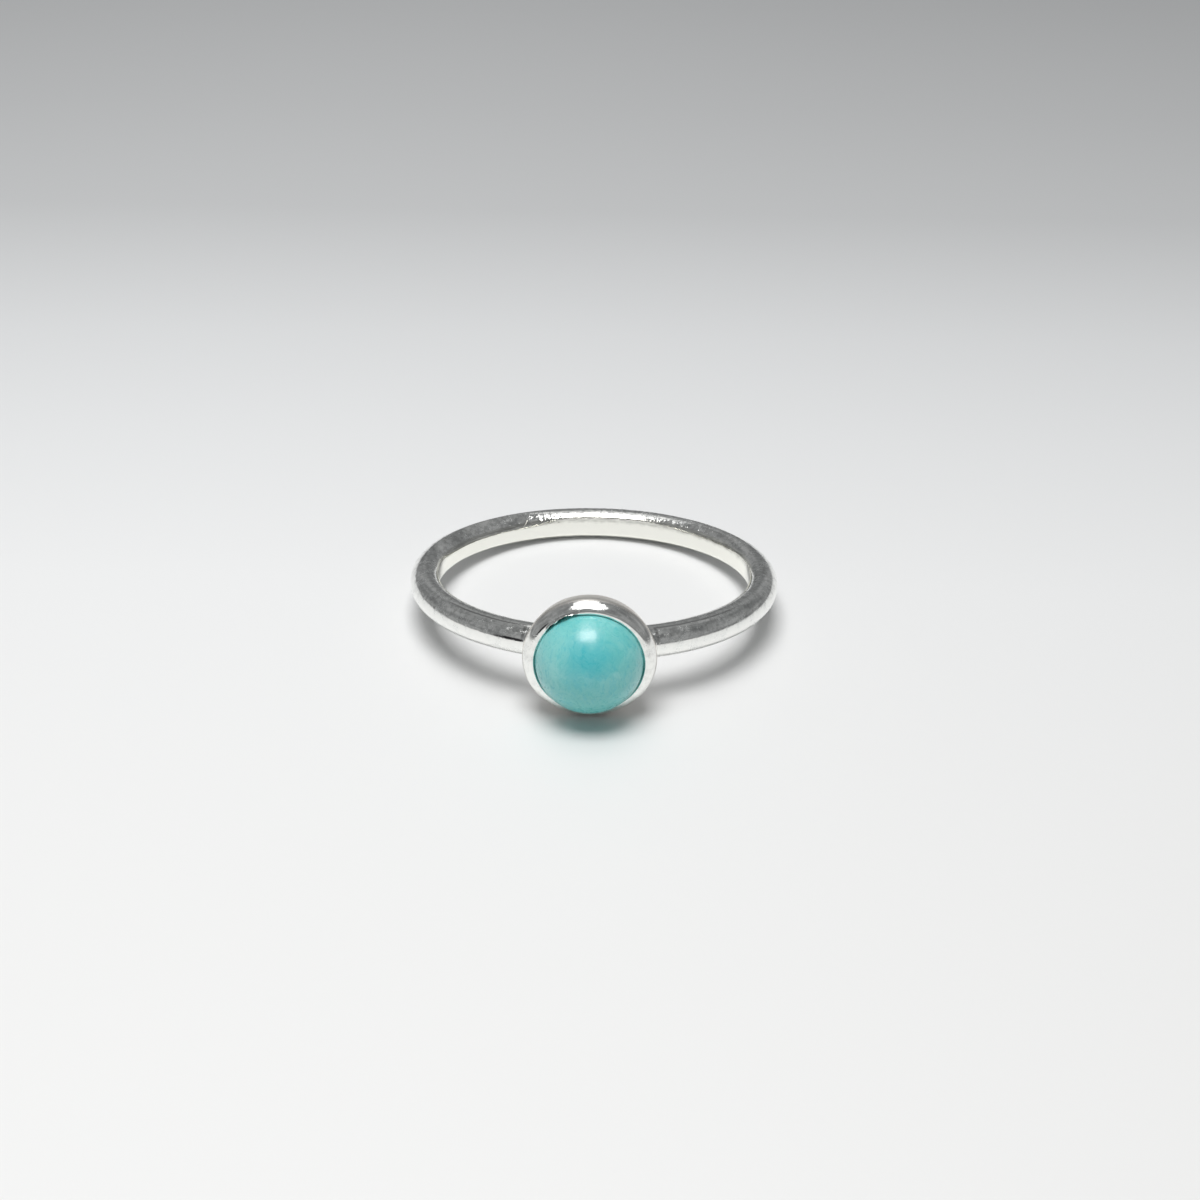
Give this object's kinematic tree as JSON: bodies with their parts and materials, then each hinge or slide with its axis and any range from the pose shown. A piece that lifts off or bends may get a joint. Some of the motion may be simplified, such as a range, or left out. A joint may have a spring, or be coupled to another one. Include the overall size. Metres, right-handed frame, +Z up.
{
  "type": "amazonite ring",
  "caption": "Finger ring of plain round silver wire with a round domed amazonite set in a low polished cup.",
  "frame": {"origin": "middle of the box's lower face, on the surface that the ring lies on", "axes": "+Z up, -Y the way the stone faces, X across the ring; the finger hole's axis leans 7.6 degrees from +Z toward +Y"},
  "size_m": [0.0212, 0.0246, 0.0071],
  "materials": {
    "polished_silver": "polished silver with fine wear",
    "amazonite": "polished, mottled blue-green"
  },
  "bodies": {
    "root": {"silver_band_and_cup": "polished_silver", "cabochon": "amazonite"}
  },
  "joints": []
}
